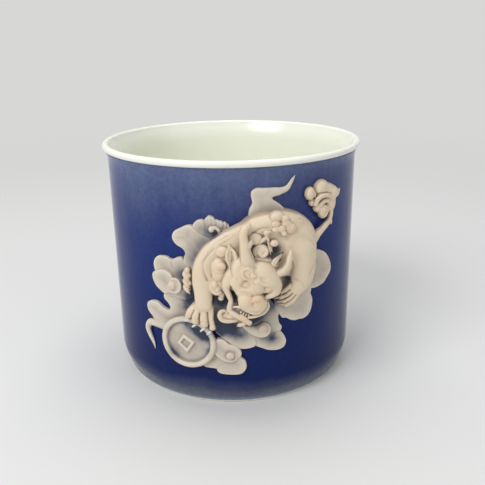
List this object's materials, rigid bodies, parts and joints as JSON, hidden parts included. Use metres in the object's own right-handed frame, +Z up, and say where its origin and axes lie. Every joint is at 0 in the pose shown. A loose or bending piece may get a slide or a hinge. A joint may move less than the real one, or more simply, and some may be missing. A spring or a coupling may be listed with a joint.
{
  "type": "porcelain cup",
  "caption": "Straight-walled porcelain cup with a white lip, a cobalt-glazed wall and an applied relief of a horned lion beast with a coin among clouds.",
  "frame": {"origin": "bottom centre of the bounding box, on the plane the foot ring stands on; the cup's axis is 3.5 mm behind it, at +Y", "axes": "+Z up along the cup's axis, -Y out of the wall at the relief, +X to the right as the relief is seen"},
  "size_m": [0.08, 0.087, 0.073],
  "materials": {
    "white_porcelain": "clear gloss glaze over white porcelain",
    "cobalt_glaze": "gloss cobalt glaze, thinner and paler under the lip",
    "bare_foot": "unglazed, wiped clean",
    "cloud_clay": "matt unglazed porcelain with a blue-grey wash in the hollows",
    "beast_clay": "matt unglazed cream porcelain with a faint wash in the hollows",
    "white_slip": "matt white slip"
  },
  "bodies": {
    "root": {"cup_body": "white_porcelain", "cobalt_glaze_coat": "cobalt_glaze", "foot_ring": "bare_foot", "nose": "beast_clay", "left_eye": "beast_clay", "right_eye": "beast_clay", "left_brow_curl": "beast_clay", "tongue": "beast_clay", "head": "beast_clay", "lower_jaw": "beast_clay", "cheek_lock": "beast_clay", "beard_lock": "beast_clay", "left_horn": "beast_clay", "right_horn": "beast_clay", "left_ear": "beast_clay", "large_mane_curl": "beast_clay", "upper_mane_curl": "beast_clay", "middle_mane_curl": "beast_clay", "lower_mane_curl": "beast_clay", "neck_curl": "beast_clay", "neck_bead": "beast_clay", "neck_flame": "beast_clay", "right_neck_flame": "beast_clay", "upper_spine_knob": "beast_clay", "left_spine_knob": "beast_clay", "right_spine_knob": "beast_clay", "lower_spine_knob": "beast_clay", "rear_spine_knob": "beast_clay", "left_paw": "beast_clay", "first_left_claw": "white_slip", "second_left_claw": "white_slip", "third_left_claw": "white_slip", "fourth_left_claw": "white_slip", "left_foreleg": "beast_clay", "elbow_tuft": "beast_clay", "right_paw": "beast_clay", "right_foreleg": "beast_clay", "body": "beast_clay", "tail_stem": "beast_clay", "tail_tuft": "beast_clay", "left_tail_curl": "beast_clay", "lower_tail_curl": "beast_clay", "coin_square": "cloud_clay", "coin": "cloud_clay", "left_cloud_curl": "cloud_clay", "left_cloud_lobe": "cloud_clay", "coin_cloud_curl": "cloud_clay", "bottom_cloud_curl": "cloud_clay", "upper_cloud_bead": "cloud_clay", "upper_left_cloud": "cloud_clay", "rear_upper_cloud": "cloud_clay", "left_cloud": "cloud_clay", "lower_left_cloud": "cloud_clay", "coin_cloud": "cloud_clay", "bottom_cloud": "cloud_clay", "right_cloud": "cloud_clay", "far_right_cloud": "cloud_clay", "top_cloud": "cloud_clay"}
  },
  "joints": []
}
